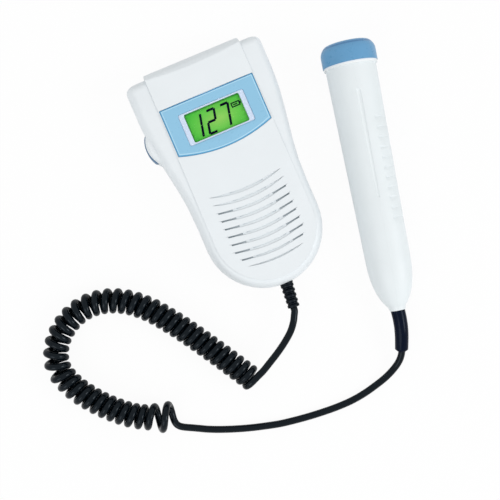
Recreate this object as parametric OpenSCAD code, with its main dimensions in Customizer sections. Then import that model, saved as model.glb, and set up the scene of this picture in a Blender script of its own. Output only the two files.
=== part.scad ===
// Fetal doppler monitor: a hand-held unit with a display and a speaker, a round probe that lies
// beside it, and the curly cord that joins the two.
// The unit lies on its back on the plane z = 0, with its display end towards +Y.
// The origin is on the resting face, at the middle of the case.

/* [Case] */
// Width of the case across the display
head_width = 82.5; // [82:0.5:85]
// Width of the case at the grip, and the diameter of its round end
grip_width = 68.2; // [67.6:0.2:69.2]
// Thickness from the resting face to the crown of the front
case_thickness = 30; // [30:0.25:31]
// Distance from the origin to the top end of the case
top_y = 69.4; // [68.8:0.2:70]
// Thickness of the moulded walls
wall = 2; // [1.8:0.1:2.2]

/* [Display] */
// Width of the blue bezel
bezel_width = 56.6; // [56:0.2:57]
// Width of the lit field of the display
field_width = 33.3; // [32.5:0.1:34]
// Height of the lit field of the display
field_height = 16.8; // [16.4:0.1:17]
// Height of one digit
digit_height = 13.9; // [12.8:0.1:14.2]

/* [Speaker grille] */
// Number of arched louvres
louvre_count = 10; // [7:1:10]
// Distance between two louvres
louvre_pitch = 4.75; // [4.5:0.05:4.8]
// Height of the slots at both ends of a louvre
slot_height = 0.9; // [0.7:0.1:1.1]
// Height of the slot in the middle of a louvre
middle_height = 0.5; // [0.4:0.1:0.9]
// Depth of a louvre's scoop at its slot
scoop_depth = 1.1; // [0.8:0.1:1.2]

/* [Side button] */
// Radius of the round turret on the left flank, seen from the front
turret_r = 14.2; // [13.8:0.1:14.4]
// How far the button stands out of the turret
button_proud = 0.6; // [0.5:0.1:0.8]

/* [Probe] */
// Radius of the probe at its cap
cap_r = 16; // [15.8:0.1:16.4]
// Radius of the barrel just below the collar
barrel_r = 14.7; // [14.4:0.1:14.9]
// Radius of the barrel where it rests near the tail
heel_r = 13; // [12.6:0.1:13.4]
// Length of the probe from the tail to the face of the cap
probe_length = 156.9; // [156.6:0.1:158.6]
// Number of grooves in the thumb grip
grip_grooves = 11; // [8:1:11]

/* [Cord] */
// Diameter of the cord
cord_d = 4.1; // [3.9:0.05:4.15]
// Number of curls
curl_count = 42; // [36:1:42]
// Radius of a curl, measured to the middle of the cord
curl_r = 5.4; // [5.2:0.1:5.6]

/* [Hidden] */
$fn = 48;

// Case outline
head_r = head_width / 2;
grip_r = grip_width / 2;
end_y = -36.7;             // centre of the round end
flare_low = -18;          // the flanks start to widen here
flare_high = 46;          // and are at full width here
shoulder_y = 66.6;
corner = [6.5, 4];
tip_angle = 8;            // leaves a flat seat for the strain relief
tip_steps = 10;
side_stations = [-22, -8, 3, 13, 23, 34, 46];
seam_z = 14;
crown_drop = 1.2;
crease_step = 0.6;
wing_z = case_thickness - crown_drop - crease_step;
front_wall_z = 18.6;      // the front's edge starts to round here
front_edge = [5, 5.5];    // width of that rounding at the grip and at the head
back_edge = [5.5, 6];
back_edge_h = 7;
plateau_half = 28.7;
plateau_end_r = 29.4;
nose_len = 9;             // length of the rounding at the top end
nose_low = 17;
heel_high = 10;
tip_y = end_y - grip_r * cos(tip_angle);

// Display
display_y = 30.2;
bezel_top = 45.8;
bezel_low = 18.2;
bezel_sag = 5;
bezel_depth = 1.2;
bezel_proud = 0.4;
bezel_bevel = 0.8;
window_size = [39.6, 18.8];
frame_size = [44, 24];
frame_top = 28;
lip_top = 28.9;           // the frame's lip fills the bezel's opening up to here
glass_size = [38, 20.6];
glass_top = 27.6;
glass_t = 2.4;
board_z = 20.2;
board_t = 1.6;
board_top = board_z + board_t;
board_half = 31.8;
board_y = [-7, 60];

// Speaker grille
first_louvre_y = -12.1;
slot_r = 122;
scoop_r = 64;
scoop_run = 4;            // distance over which a scoop rises to the surface
middle_slot = 10;
side_slot = 12.2;
speaker_y = -33.5;
speaker_r = 20;
speaker_seat_z = 25.6;
magnet_r = 11;

// Side button
turret_at = [-28.7, 29.4];
turret_z = [3.5, 24.5];
turret_round = 3;
button_half = [8.4, 5.5]; // half its length along Y and half its height
button_corner = 2.5;
button_gap = 0.3;
button_travel = 0.6;
switch_x = -26.4;         // face of the switch's board
switch_depth = 3.5;
plunger_len = 0.7;

// Batteries and their bay
cell_r = 7.25;
cell_len = 50.5;
cell_x = 7.6;
cell_z = 10.1;
spring_len = 6.7;
plate_t = 0.4;
bay_half = 15.6;
bay_y = [-2.5, 55.5];
bay_top = 17.9;
bay_wall = 1.4;
door_half = 18;
door_y = -5;
door_z = [0.3, 2.3];
door_gap = 0.3;
tongue = 1.2;

// Case screws
screw_places = [[-30, 55], [30, 55], [-21, -48], [21, -48]];
screw_seat_z = 6;
screw_tip_z = 24.2;
screw_r = 1.3;
head_hole_r = 3;

// Probe
probe_tail = [53.7, -111.1];
probe_yaw = 12.2;
probe_roll = -4;          // turns the thumb groove a little to the left
collar_at = 143;
cap_at = 144.5;
heel_at = 29.3;
rest_gap = 0.03;
probe_pitch = atan((cap_r - heel_r) / (cap_at - heel_at));
tail_z = heel_r * cos(probe_pitch) - heel_at * sin(probe_pitch) + rest_gap;
probe_way = [sin(probe_yaw) * cos(probe_pitch), cos(probe_yaw) * cos(probe_pitch),
             sin(probe_pitch)];
tail_r = 4.5;
relief_plug_r = 3.75;
spigot_r = 13.6;
spigot_end = 149.5;
cap_bore_end = 155.4;
cap_bore_r = 12;
cap_bevel = [3.8, 5.4];
backing_at = 146.5;
grip_first = 53.2;
grip_pitch = 5.79;
grip_side = -42;          // direction of the grip's middle, seen along the probe
grip_spread = 52;
grip_depth = [0.75, 0.1];  // at the groove and at the flank
thumb_groove = [66.3, 127];
thumb_groove_r = [0.9, 2];
thumb_depth = [0.35, 0.75];
clamp_at = [12, 19];
rib_places = [64, 114];
probe_board_at = [60, 120];

// Cord
cord_r = cord_d / 2;
table_z = cord_r + 0.02;  // height of the middle of the cord where it lies on the table
curl_rings = 8;           // rings in one curl
loose_turns = 1.5;        // the last curls are wider and further apart
loose_pitch = 8;
loose_r = 1.6;
relief_tilt = 6;
relief_len = 14;
relief_seat = 1;          // length of the unit's relief before it bends
relief_r = 3.7;
// Middle of the row of curls, from the unit's end to the probe's end
curl_route = [
    [-39.2, -114.9], [-47.5, -100.4], [-54.9, -87.8], [-61.8, -76.5], [-69.2, -65.3],
    [-78.5, -53.2], [-89.3, -43.9], [-101.6, -38.7], [-114.4, -38.4], [-126.2, -43.3],
    [-135.1, -52.2], [-138.9, -63.7], [-135.7, -76.1], [-128.5, -87.8], [-119.7, -98],
    [-109.9, -106.5], [-99.6, -112], [-90.3, -115.3]
];
// The lead from the unit's strain relief towards the first curl
unit_route = [
    [-2.8, -89.6, 13.8], [-4.9, -93.2, 13.5], [-8.4, -97.4, 13], [-13.5, -101.5, 12.6],
    [-19.7, -105.5, 12.4], [-26.1, -109, 12.4]
];
// The lead from the last curl to the probe's strain relief
probe_route = [
    [-74.7, -131.4, 2.1], [-68.3, -134.4, 2.1], [-60.4, -137.6, 2.1], [-52, -140.6, 2.1],
    [-43.5, -143.2, 2.1], [-35, -145.5, 2.1], [-26.6, -147.1, 2.1], [-18.1, -148.4, 2.1],
    [-9.5, -149.4, 2.1], [-0.5, -150.1, 2.1], [8.5, -150.2, 2.1], [17.1, -149.4, 2.1],
    [25.2, -147.8, 2.2], [32.8, -145.7, 2.8], [39.3, -142.7, 4.1], [43.8, -139.4, 5.8]
];
// The bent sleeve at the probe's tail, after its start at the tail
sleeve_route = [[52.9, -115.7, 12.2], [51.7, -120.8, 11.7], [50.3, -125.4, 10.8],
                [48.8, -129.6, 9.5], [47.5, -133.2, 8.1]];
sleeve_r = 4.1;
sleeve_end_r = 3.7;

function smooth(t) = let (c = max(0, min(1, t))) c * c * (3 - 2 * c);
function mix(a, b, t) = a + (b - a) * t;
function unit(v) = v / norm(v);

// ---------------------------------------------------------------- lofts and tubes

// Faces between rings of n points that follow one another, all counted the same way round
function side_faces(rings, n) = [for (k = [0:rings - 2], i = [0:n - 1])
    let (a = k * n + i, b = k * n + (i + 1) % n)
    each [[a, b + n, b], [a, a + n, b + n]]];

// A closed solid through stacked rings. Each ring is a mirrored pair of halves, and its ends are
// closed by strips between the halves.
module loft(rings) {
    n = len(rings[0]);
    last = (len(rings) - 1) * n;
    caps = [for (i = [0:n / 2 - 2]) let (j = n - 1 - i)
        each [[i, i + 1, j], [i + 1, j - 1, j], [last + i + 1, last + i, last + j],
              [last + j - 1, last + i + 1, last + j]]];
    polyhedron(points = [for (r = rings) each r],
               faces = concat(side_faces(len(rings), n), caps));
}

// A tube with n sides: one ring at each place, square to its way, with a corner towards its out
module tube(places, ways, outs, radii, n) {
    points = [for (k = [0:len(places) - 1])
        let (side = unit(cross(ways[k], outs[k])), out = cross(side, ways[k]))
        for (i = [0:n - 1])
            let (a = 360 * i / n) places[k] + radii[k] * (cos(a) * out + sin(a) * side)];
    last = (len(places) - 1) * n;
    caps = [for (i = [1:n - 2]) each [[0, i, i + 1], [last, last + i + 1, last + i]]];
    polyhedron(points = points, faces = concat(side_faces(len(places), n), caps));
}

// The way along a route at each of its points, with given ways at its two ends
function route_ways(p, first, end) = [for (i = [0:len(p) - 1])
    i == 0 ? first : i == len(p) - 1 ? end : unit(p[i + 1] - p[i - 1])];

module cord_tube(p, first, end) {
    tube(p, route_ways(p, first, end), [for (q = p) [0, 0, 1]], [for (q = p) cord_r], 8);
}

// ---------------------------------------------------------------- case

function flare(y) = smooth((y - flare_low) / (flare_high - flare_low));
function side_x(y) = mix(grip_r, head_r, flare(y));

// Right half of the outline from the tip to the top. It lies inwards by off, and by share of
// the edge width, which runs from edge[0] at the grip to edge[1] at the head.
function half_outline(off, share, edge) =
    let (g = off + share * edge[0], h = off + share * edge[1],
         rx = max(corner[0] - h, 1.5), ry = max(corner[1] - h, 1.5))
    concat(
        [for (i = [0:tip_steps])
            let (a = mix(tip_angle, 90, i / tip_steps))
            [(grip_r - g) * sin(a), end_y - (grip_r - g) * cos(a)]],
        [for (y = side_stations) [side_x(y) - mix(g, h, flare(y)), y]],
        [for (a = [0:22.5:90])
            [head_r - h - rx + rx * cos(a), shoulder_y - h - ry + ry * sin(a)]]);

function ring(z, off, share, edge) =
    let (half = half_outline(off, share, edge), n = len(half))
    concat([for (p = half) [p[0], p[1], z]],
           [for (i = [n - 1:-1:0]) [-half[i][0], half[i][1], z]]);

// The case in front of the seam, without its raised middle
module wings(off) {
    loft(concat(
        [ring(seam_z, off, 0, front_edge)],
        [for (a = [0:15:90])
            ring(mix(front_wall_z, wing_z - off, sin(a)), off, 1 - cos(a), front_edge)]));
}

// The case behind the seam
module tray(off) {
    loft(concat(
        [for (a = [90:-18:0])
            ring(mix(back_edge_h, off, sin(a)), off, 1 - cos(a), back_edge)],
        [ring(seam_z, off, 0, back_edge)]));
}

module plateau_outline(off) {
    hull() {
        translate([0, end_y])
            circle(plateau_end_r - off, $fn = 72);
        for (side = [-1, 1])
            translate([side * (plateau_half - off - 2), top_y - off - 2])
                circle(2, $fn = 24);
    }
}

// Everything below the crowned front surface, moved down by off
module under_crown(off) {
    rotate([90, 0, 0])
        linear_extrude(height = 180, center = true)
            polygon(concat(
                [[-head_r, 0], [head_r, 0]],
                [for (x = [35:-5:-35])
                    [x, case_thickness - off - crown_drop * pow(x / plateau_half, 2)]]));
}

// A block from y to the top end, whose end rounds over between two heights
module nose(off, y, low, high) {
    end = top_y - off;
    rotate([90, 0, 90])
        linear_extrude(height = 2 * head_width, center = true)
            polygon(concat(
                [[end, seam_z], [y, seam_z], [y, high]],
                [for (a = [0:15:90]) [end - nose_len * (1 - sin(a)), mix(low, high, cos(a))]]));
}

// The raised middle of the front, which runs up to the top end and rounds over there
module spine(off) {
    intersection() {
        translate([0, 0, seam_z])
            linear_extrude(height = case_thickness)
                plateau_outline(off);
        under_crown(off);
        nose(off, -90, nose_low, case_thickness + 0.5 - off);
    }
}

// The same block behind the seam, at the top end only
module heel(off) {
    intersection() {
        linear_extrude(height = seam_z)
            plateau_outline(off);
        nose(off, 50, heel_high, off);
    }
}

// Round turret on the left flank, which carries the button
module turret(off) {
    r = turret_r - off;
    low = turret_z[0] + off;
    high = turret_z[1] - off;
    bend = [for (a = [0:30:90]) [1 - sin(a), 1 - cos(a)] * turret_round];
    translate([turret_at[0], turret_at[1], 0])
        rotate_extrude($fn = 72)
            polygon(concat(
                [[0, low]],
                [for (i = [0:3]) [r - bend[i][0], low + bend[i][1]]],
                [for (i = [3:-1:0]) [r - bend[i][0], high - bend[i][1]]],
                [[0, high]]));
}

module half_space(above) {
    translate([-100, -100, above ? seam_z : seam_z - 50])
        cube([200, 200, 50]);
}

module front_solid(off) {
    wings(off);
    spine(off);
    intersection() {
        turret(off);
        half_space(true);
    }
}

module back_solid(off) {
    tray(off);
    heel(off);
    intersection() {
        turret(off);
        half_space(false);
    }
}

// Rounded bar along X: the button's section, or its opening when grown
module button_bar(grow, length) {
    rotate([0, 90, 0])
        linear_extrude(height = length)
            hull()
                for (z = [-1, 1], y = [-1, 1])
                    translate([z * (button_half[1] - button_corner),
                               y * (button_half[0] - button_corner)])
                        circle(button_corner + grow, $fn = 32);
}

// Screw boss with two gussets
module boss(r, low, high, bore, turn) {
    difference() {
        union() {
            translate([0, 0, low])
                cylinder(r = r, h = high - low, $fn = 32);
            for (a = [turn, turn + 90])
                rotate(a)
                    hull() {
                        translate([0, 0, low])
                            cylinder(r = 0.6, h = high - low, $fn = 8);
                        translate([r + 1.8, 0, low])
                            cylinder(r = 0.6, h = (high - low) * 0.4, $fn = 8);
                    }
        }
        translate([0, 0, low - 1])
            cylinder(r = bore, h = high - low + 2, $fn = 24);
    }
}

// The hole in the round end where the cord's strain relief sits, half in each shell
module relief_hole() {
    translate([0, tip_y + 5, seam_z])
        rotate([90, 0, 0])
            cylinder(r = 3, h = 12, $fn = 32);
}

// ---------------------------------------------------------------- speaker grille

// Half length of the scoop and of the slots in each row
function row_half(i) = i == 8 ? 18.6 : i == 9 ? 15.5 : 20.6;
function has_side_slots(i) = i >= 2 && i <= 8;
function arc_y(x, r) = r - sqrt(r * r - x * x);

// A band of height h along the slot's arc
module arc_band(x0, x1, h) {
    steps = 5;
    xs = [for (i = [0:steps]) mix(x0, x1, i / steps)];
    polygon(concat(
        [for (x = xs) [x, arc_y(x, slot_r) + slot_height / 2 - h]],
        [for (i = [steps:-1:0]) [xs[i], arc_y(xs[i], slot_r) + slot_height / 2]]));
}

// The crescent between the slot's arc and the deeper arc below it
module scoop_outline(half) {
    steps = 7;
    xs = [for (i = [-steps:steps]) half * i / steps];
    top = slot_height / 2;
    drop = arc_y(half, scoop_r) - arc_y(half, slot_r) - top;
    polygon(concat(
        [for (x = xs) [x, arc_y(x, scoop_r) - drop]],
        [for (i = [2 * steps:-1:0]) [xs[i], arc_y(xs[i], slot_r) + top]]));
}

module at_louvre(i) {
    translate([0, first_louvre_y - i * louvre_pitch, 0])
        children();
}

// Each scoop is deepest at its slot and rises to the surface below it
module grille_scoops() {
    for (i = [0:louvre_count - 1])
        at_louvre(i)
            intersection() {
                translate([0, 0, seam_z])
                    linear_extrude(height = 30)
                        scoop_outline(row_half(i) + 1.4);
                translate([0, slot_height / 2, case_thickness - scoop_depth])
                    rotate([-atan(scoop_depth / scoop_run), 0, 0])
                        translate([-40, -20, 0])
                            cube([80, 40, 20]);
            }
}

module grille_slots() {
    translate([0, 0, case_thickness - 3.2])
        linear_extrude(height = 20)
            for (i = [0:louvre_count - 1])
                at_louvre(i) {
                    arc_band(-middle_slot, middle_slot, middle_height);
                    if (has_side_slots(i)) {
                        arc_band(side_slot, row_half(i), slot_height);
                        arc_band(-row_half(i), -side_slot, slot_height);
                    }
                }
}

// ---------------------------------------------------------------- unit: shells

module front_bosses() {
    intersection() {
        union() {
            for (i = [0:3])
                translate([screw_places[i][0], screw_places[i][1], 0])
                    boss(3.25, i < 2 ? board_top : seam_z, case_thickness, screw_r + 0.05,
                         i % 2 == 0 ? 90 : 0);
        }
        front_solid(1);
    }
}

module speaker_seat() {
    intersection() {
        translate([0, speaker_y, speaker_seat_z])
            difference() {
                cylinder(r = speaker_r + 1, h = 10);
                translate([0, 0, -1])
                    cylinder(r = speaker_r - 1, h = 12);
            }
        under_crown(1);
    }
}

module front_shell() {
    color("#eaeff1")
        difference() {
            union() {
                difference() {
                    front_solid(0);
                    translate([0, 0, -0.01])
                        front_solid(wall);
                }
                front_bosses();
                speaker_seat();
            }
            difference() {
                translate([0, 0, seam_z])
                    linear_extrude(height = 30)
                        bezel_outline(-0.1);
                under_crown(bezel_depth);
            }
            translate([0, display_y, case_thickness])
                cube([frame_size[0] + 0.6, frame_size[1] + 0.6, 20], center = true);
            grille_scoops();
            grille_slots();
            translate([turret_at[0] - turret_r - 4, turret_at[1], seam_z])
                button_bar(button_gap, 10);
            relief_hole();
        }
}

module back_bosses() {
    intersection() {
        union() {
            for (i = [0:3])
                translate([screw_places[i][0], screw_places[i][1], 0])
                    boss(4.4, 0, i < 2 ? board_z : seam_z, screw_r + 0.3, i % 2 == 0 ? 0 : 90);
        }
        union() {
            back_solid(0.5);
            front_solid(wall + 0.5);
        }
    }
}

module battery_bay() {
    difference() {
        translate([-bay_half - bay_wall, bay_y[0] - bay_wall, 1])
            cube([2 * (bay_half + bay_wall), bay_y[1] - bay_y[0] + 2 * bay_wall,
                  bay_top + bay_wall - 1]);
        translate([-bay_half, bay_y[0], -1])
            cube([2 * bay_half, bay_y[1] - bay_y[0], bay_top + 1]);
    }
}

// Thick floor round the battery door, with the door's guides
module door_ledge() {
    intersection() {
        translate([-door_half - 3.2, door_y - 3, 0])
            cube([2 * (door_half + 3.2), 80, 3.9]);
        back_solid(0);
    }
}

module door_pocket() {
    translate([-door_half - door_gap, door_y - door_gap, -1])
        cube([2 * (door_half + door_gap), 90, door_z[1] + door_gap + 1]);
    translate([-door_half - door_gap - tongue, door_y - door_gap, 0.9])
        cube([2 * (door_half + door_gap + tongue), 90, door_z[1] + door_gap - 0.9]);
}

module back_shell() {
    color("#e4e9ec")
        difference() {
            union() {
                difference() {
                    back_solid(0);
                    translate([0, 0, 0.01])
                        back_solid(wall);
                }
                door_ledge();
                battery_bay();
                back_bosses();
            }
            translate([-bay_half, bay_y[0], -1])
                cube([2 * bay_half, bay_y[1] - bay_y[0], bay_top + 1]);
            door_pocket();
            for (p = screw_places)
                translate([p[0], p[1], -1]) {
                    cylinder(r = head_hole_r, h = screw_seat_z + 1, $fn = 32);
                    cylinder(r = screw_r + 0.3, h = 40, $fn = 24);
                }
            translate([turret_at[0] - turret_r - 4, turret_at[1], seam_z])
                button_bar(button_gap, 10);
            relief_hole();
        }
}

module battery_door() {
    color("#e0e6e9")
        difference() {
            union() {
                intersection() {
                    back_solid(0);
                    translate([-door_half, door_y, door_z[0]])
                        cube([2 * door_half, 90, door_z[1] - door_z[0]]);
                }
                for (side = [-1, 1])
                    translate([side * door_half - tongue / 2 - side * 0.1, 0, 1.2])
                        cube([tongue + 0.2, 56, 1]);
            }
            for (y = [0:3:9])
                translate([-9, y, -0.5])
                    cube([18, 1.2, 1.4]);
        }
}

// ---------------------------------------------------------------- unit: display

module bezel_outline(inset) {
    half = bezel_width / 2 - inset;
    steps = 6;
    polygon(concat(
        [for (i = [-steps:steps])
            let (x = half * i / steps)
            [x, bezel_low + inset - bezel_sag * (1 - pow(i / steps, 2))]],
        [[half, bezel_top - inset], [-half, bezel_top - inset]]));
}

// Blue bezel, which follows the crown of the front and has a bevelled edge
module display_bezel() {
    color("#8fc4e3")
        difference() {
            union() {
                for (step = [0:2])
                    intersection() {
                        translate([0, 0, seam_z])
                            linear_extrude(height = 30)
                                bezel_outline(step * bezel_bevel / 2);
                        under_crown(mix(0.5, -bezel_proud, step / 2));
                    }
            }
            under_crown(bezel_depth - 0.02);
            translate([0, display_y, case_thickness])
                cube([window_size[0], window_size[1], 30], center = true);
        }
}

module display_window() {
    color("#dfeeee", 0.3)
        intersection() {
            translate([-window_size[0] / 2 + 0.1, display_y - window_size[1] / 2 + 0.1, lip_top])
                cube([window_size[0] - 0.2, window_size[1] - 0.2, 4]);
            under_crown(0.1);
        }
}

module block_at_display(size, low, high) {
    translate([-size[0] / 2, display_y - size[1] / 2, low])
        cube([size[0], size[1], high - low]);
}

module lcd_frame() {
    color("#d5dff3")
        difference() {
            union() {
                block_at_display(frame_size, board_top, frame_top);
                block_at_display(window_size - [0.2, 0.2], frame_top - 1, lip_top);
            }
            block_at_display(glass_size + [0.2, 0.2], board_top - 1, glass_top);
            block_at_display([field_width, field_height], glass_top - 1, lip_top + 1);
        }
}

module lcd_glass() {
    color("#6fce4a")
        block_at_display(glass_size, glass_top - glass_t, glass_top);
}

module lcd_backlight() {
    color("#f2f6f0")
        block_at_display(glass_size, board_top, glass_top - glass_t);
}

digit_w = 0.42 * digit_height;
digit_pitch = 8.4;
digit_shift = -4.7;       // of the middle digit from the middle of the field
stroke = 1.3;
digit_slant = 13;
digit_base = display_y - field_height / 2 + 0.9;
icon_size = [5.2, 2.8];
icon_wall = 0.6;
icon_charge = 2.4;
icon_at = [10.3, display_y + 1.8];

// A bar of the display, slanted like all its digits
module slanted_bar(x0, y0, x1, y1) {
    lean = tan(digit_slant);
    polygon([[x0 + y0 * lean, y0], [x1 + y0 * lean, y0], [x1 + y1 * lean, y1],
             [x0 + y1 * lean, y1]]);
}

// Digit made of seven bars. lit holds the bars' letters.
module digit(lit) {
    h = digit_height / 2;
    gap = 0.12;
    half = stroke / 2;
    bars = [
        ["a", gap + half, 2 * h - stroke, digit_w - gap - half, 2 * h],
        ["b", digit_w - stroke, h + gap, digit_w, 2 * h - gap - half],
        ["c", digit_w - stroke, gap + half, digit_w, h - gap],
        ["d", gap + half, 0, digit_w - gap - half, stroke],
        ["e", 0, gap + half, stroke, h - gap],
        ["f", 0, h + gap, stroke, 2 * h - gap - half],
        ["g", gap + half, h - half, digit_w - gap - half, h + half]
    ];
    for (b = bars)
        if (len(search(b[0], lit)) > 0)
            slanted_bar(b[1], b[2], b[3], b[4]);
}

// Outline of a battery with its stud and its charge
module battery_icon() {
    middle = icon_size[1] / 2;
    difference() {
        square(icon_size);
        translate([icon_wall, icon_wall])
            square(icon_size - 2 * [icon_wall, icon_wall]);
    }
    translate([icon_size[0] - 0.1, middle - icon_wall])
        square([icon_wall + 0.1, 2 * icon_wall]);
    translate([2 * icon_wall, middle - icon_wall / 2])
        square([icon_charge, icon_wall]);
}

module lcd_digits() {
    digits = ["bc", "abged", "abc"];
    color("#15183a")
        translate([0, 0, glass_top])
            linear_extrude(height = 0.15) {
                for (i = [0:2])
                    translate([(i - 1) * digit_pitch - digit_w / 2 + digit_shift, digit_base])
                        digit(digits[i]);
                translate(icon_at)
                    battery_icon();
            }
}

module main_board() {
    color("#2f7a4d")
        difference() {
            translate([-board_half, board_y[0], board_z])
                cube([2 * board_half, board_y[1] - board_y[0], board_t]);
            for (p = screw_places)
                translate([p[0], p[1], board_z - 1])
                    cylinder(r = screw_r + 0.3, h = 4);
        }
}

module chip(x, y, z, size) {
    translate([x - size[0] / 2, y - size[1] / 2, z])
        cube(size);
}

module board_components() {
    color("#22252a") {
        chip(-14, 4, board_top, [12, 12, 1.6]);
        chip(4, 6, board_top, [8, 5, 1.5]);
        chip(-14, 52, board_top, [6, 6, 1.2]);
        chip(25, 34, board_top, [3.5, 9, 1.4]);
        chip(25, 18, board_top, [4, 5, 2]);
        chip(-27, 8, board_z - 1.8, [8, 6, 1.8]);
        chip(25, 10, board_z - 1.6, [6, 6, 1.6]);
        chip(25, 42, board_z - 4, [7, 12, 4]);
        for (x = [15, 23])
            translate([x, 4, board_top])
                cylinder(r = 3, h = 5);
    }
}

// ---------------------------------------------------------------- unit: speaker

module at_speaker(z) {
    translate([0, speaker_y, z])
        children();
}

module speaker_gasket() {
    color("#3a3d40")
        at_speaker(speaker_seat_z - 0.4)
            difference() {
                cylinder(r = speaker_r, h = 0.4);
                translate([0, 0, -1])
                    cylinder(r = speaker_r - 1.6, h = 2);
            }
}

module speaker_frame() {
    top = speaker_seat_z - 0.4;
    color("#8e9296")
        at_speaker(0)
            rotate_extrude()
                polygon([[speaker_r, top], [speaker_r, top - 0.8], [18, top - 0.8],
                         [14, 19.8], [6, 19.8], [6, 20.6], [13.4, 20.6], [17.2, top]]);
}

module speaker_cone() {
    rim = speaker_seat_z - 0.4;
    color("#2b2d30")
        at_speaker(0)
            rotate_extrude()
                polygon([[16.6, rim], [14.8, rim + 0.7], [13, rim], [6, 22.6], [0, 24.2],
                         [0, 23.8], [5.6, 22.2], [5.6, 20.6], [6.2, 20.6], [6.2, 22.2],
                         [13.2, rim - 0.5], [15, rim + 0.2], [16.4, rim - 0.5]]);
}

module speaker_magnet() {
    color("#5b5f63")
        at_speaker(14.8) {
            cylinder(r = magnet_r, h = 5);
            translate([0, 0, 5])
                cylinder(r = 4.6, h = 2);
        }
}

// ---------------------------------------------------------------- unit: side button

module side_button() {
    inner = turret_r - wall - 0.4;
    post_end = switch_x - switch_depth - plunger_len - button_travel - 0.1 - turret_at[0];
    color("#4a6a8a")
        translate([turret_at[0], turret_at[1], seam_z]) {
            intersection() {
                translate([-turret_r - 4, 0, 0])
                    button_bar(0, 8.5);
                translate([0, 0, -20])
                    cylinder(r = turret_r + button_proud, h = 40, $fn = 96);
            }
            intersection() {
                translate([-turret_r, -button_half[0] - 1.2, -button_half[1]])
                    cube([turret_r - 8.6, 2 * button_half[0] + 2.4, 2 * button_half[1]]);
                translate([0, 0, -20])
                    cylinder(r = inner, h = 40, $fn = 96);
            }
            translate([-9.2, -2, -2])
                cube([post_end + 9.2, 4, 4]);
        }
}

module button_switch() {
    color("#c9ccd0")
        translate([switch_x, turret_at[1], seam_z]) {
            translate([-switch_depth, -3, -3])
                cube([switch_depth, 6, 6]);
            translate([-switch_depth - plunger_len, 0, 0])
                rotate([0, 90, 0])
                    cylinder(r = 1.6, h = plunger_len + 0.5);
        }
}

module switch_board() {
    color("#2f7a4d")
        translate([switch_x, turret_at[1] - 8, wall + 0.01])
            cube([board_t, 16, board_z - wall - 0.11]);
}

// ---------------------------------------------------------------- unit: batteries, screws

// One cell lies with its end stud towards +Y, the other towards -Y
module battery_cells() {
    color("#b9bcc0")
        for (side = [-1, 1])
            translate([side * cell_x, side < 0 ? bay_y[0] + plate_t + spring_len
                                               : bay_y[1] - plate_t - spring_len, cell_z])
                rotate([side < 0 ? -90 : 90, 0, 0]) {
                    cylinder(r = cell_r, h = cell_len - 1.2);
                    cylinder(r = 2.7, h = cell_len);
                }
}

// Coil spring that widens from the cell to its plate
module battery_spring() {
    turns = 4;
    rings = 10;
    wire = 0.45;
    n = turns * rings;
    turn_r = [for (k = [0:n]) mix(4.6, 3, k / n)];
    rise = spring_len - 2 * wire;
    places = [for (k = [0:n]) let (a = 360 * k / rings)
        [turn_r[k] * cos(a), turn_r[k] * sin(a), wire + rise * k / n]];
    tube(places, route_ways(places, unit(places[1] - places[0]), unit(places[n] - places[n - 1])),
         [for (q = places) unit([q[0], q[1], 0])], [for (q = places) wire], 6);
}

module battery_springs() {
    color("#c8b27a")
        for (side = [-1, 1])
            translate([side * cell_x, side < 0 ? bay_y[0] + plate_t : bay_y[1] - plate_t, cell_z])
                rotate([side < 0 ? -90 : 90, 0, 0])
                    battery_spring();
}

module battery_plates() {
    color("#c8b27a")
        for (side = [-1, 1], y = [bay_y[0], bay_y[1] - plate_t])
            translate([side * cell_x - 5.5, y, cell_z - 6])
                cube([11, plate_t, 12]);
}

module case_screws() {
    color("#9a9da1")
        for (p = screw_places)
            translate([p[0], p[1], 0])
                difference() {
                    union() {
                        translate([0, 0, screw_seat_z - 2.2])
                            cylinder(r = 2.7, h = 2.2);
                        cylinder(r = screw_r, h = screw_tip_z - screw_seat_z);
                        translate([0, 0, screw_seat_z - 0.1])
                            cylinder(r = screw_r, h = screw_tip_z - screw_seat_z);
                    }
                    translate([-5, -5, -1])
                        cube([10, 10, screw_seat_z - 1.2]);
                    for (a = [0, 90])
                        rotate(a)
                            translate([-1.6, -0.35, 0])
                                cube([3.2, 0.7, screw_seat_z - 0.9]);
                }
}

// ---------------------------------------------------------------- cord

relief_way = [-sin(relief_tilt), -cos(relief_tilt), 0];
relief_end = [0, tip_y - relief_seat, seam_z] + relief_len * relief_way;

// Ribbed sleeve in the unit's round end. Windows on alternating sides let it bend.
module unit_strain_relief() {
    ribs = 5;
    rib_t = 1.5;
    core_r = 2.2;
    step = (relief_len - rib_t) / (ribs - 1);
    color("#10161e") {
        translate([0, tip_y, seam_z])
            rotate([90, 0, 0])
                rotate_extrude()
                    polygon([[0, -3.3], [4.3, -3.3], [4.3, -2.1], [2.95, -2.1], [2.95, 0],
                             [relief_r + 0.2, 0], [relief_r + 0.2, relief_seat],
                             [0, relief_seat]]);
        translate([0, tip_y - relief_seat, seam_z])
            rotate([0, 0, -relief_tilt])
                rotate([90, 0, 0]) {
                    rotate_extrude()
                        polygon(concat(
                            [[0, -0.5], [core_r, -0.5]],
                            [for (i = [0:ribs - 1])
                                let (r = mix(relief_r, 3.1, i / ribs), low = i * step)
                                each [[core_r, low + (i == 0 ? 0.1 : 0)],
                                      [r, low + (i == 0 ? 0.1 : 0)],
                                      [r, low + rib_t], [core_r, low + rib_t]]],
                            [[0, relief_len]]));
                    for (i = [0:ribs - 2])
                        translate([0, 0, i * step + step / 2 + rib_t / 2])
                            rotate(i % 2 == 0 ? 0 : 90)
                                cube([5.2, 2.4, step - 1], center = true);
                }
    }
}

// The row of curls follows a smooth curve through curl_route
curl_segments = len(curl_route) - 1;

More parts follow.
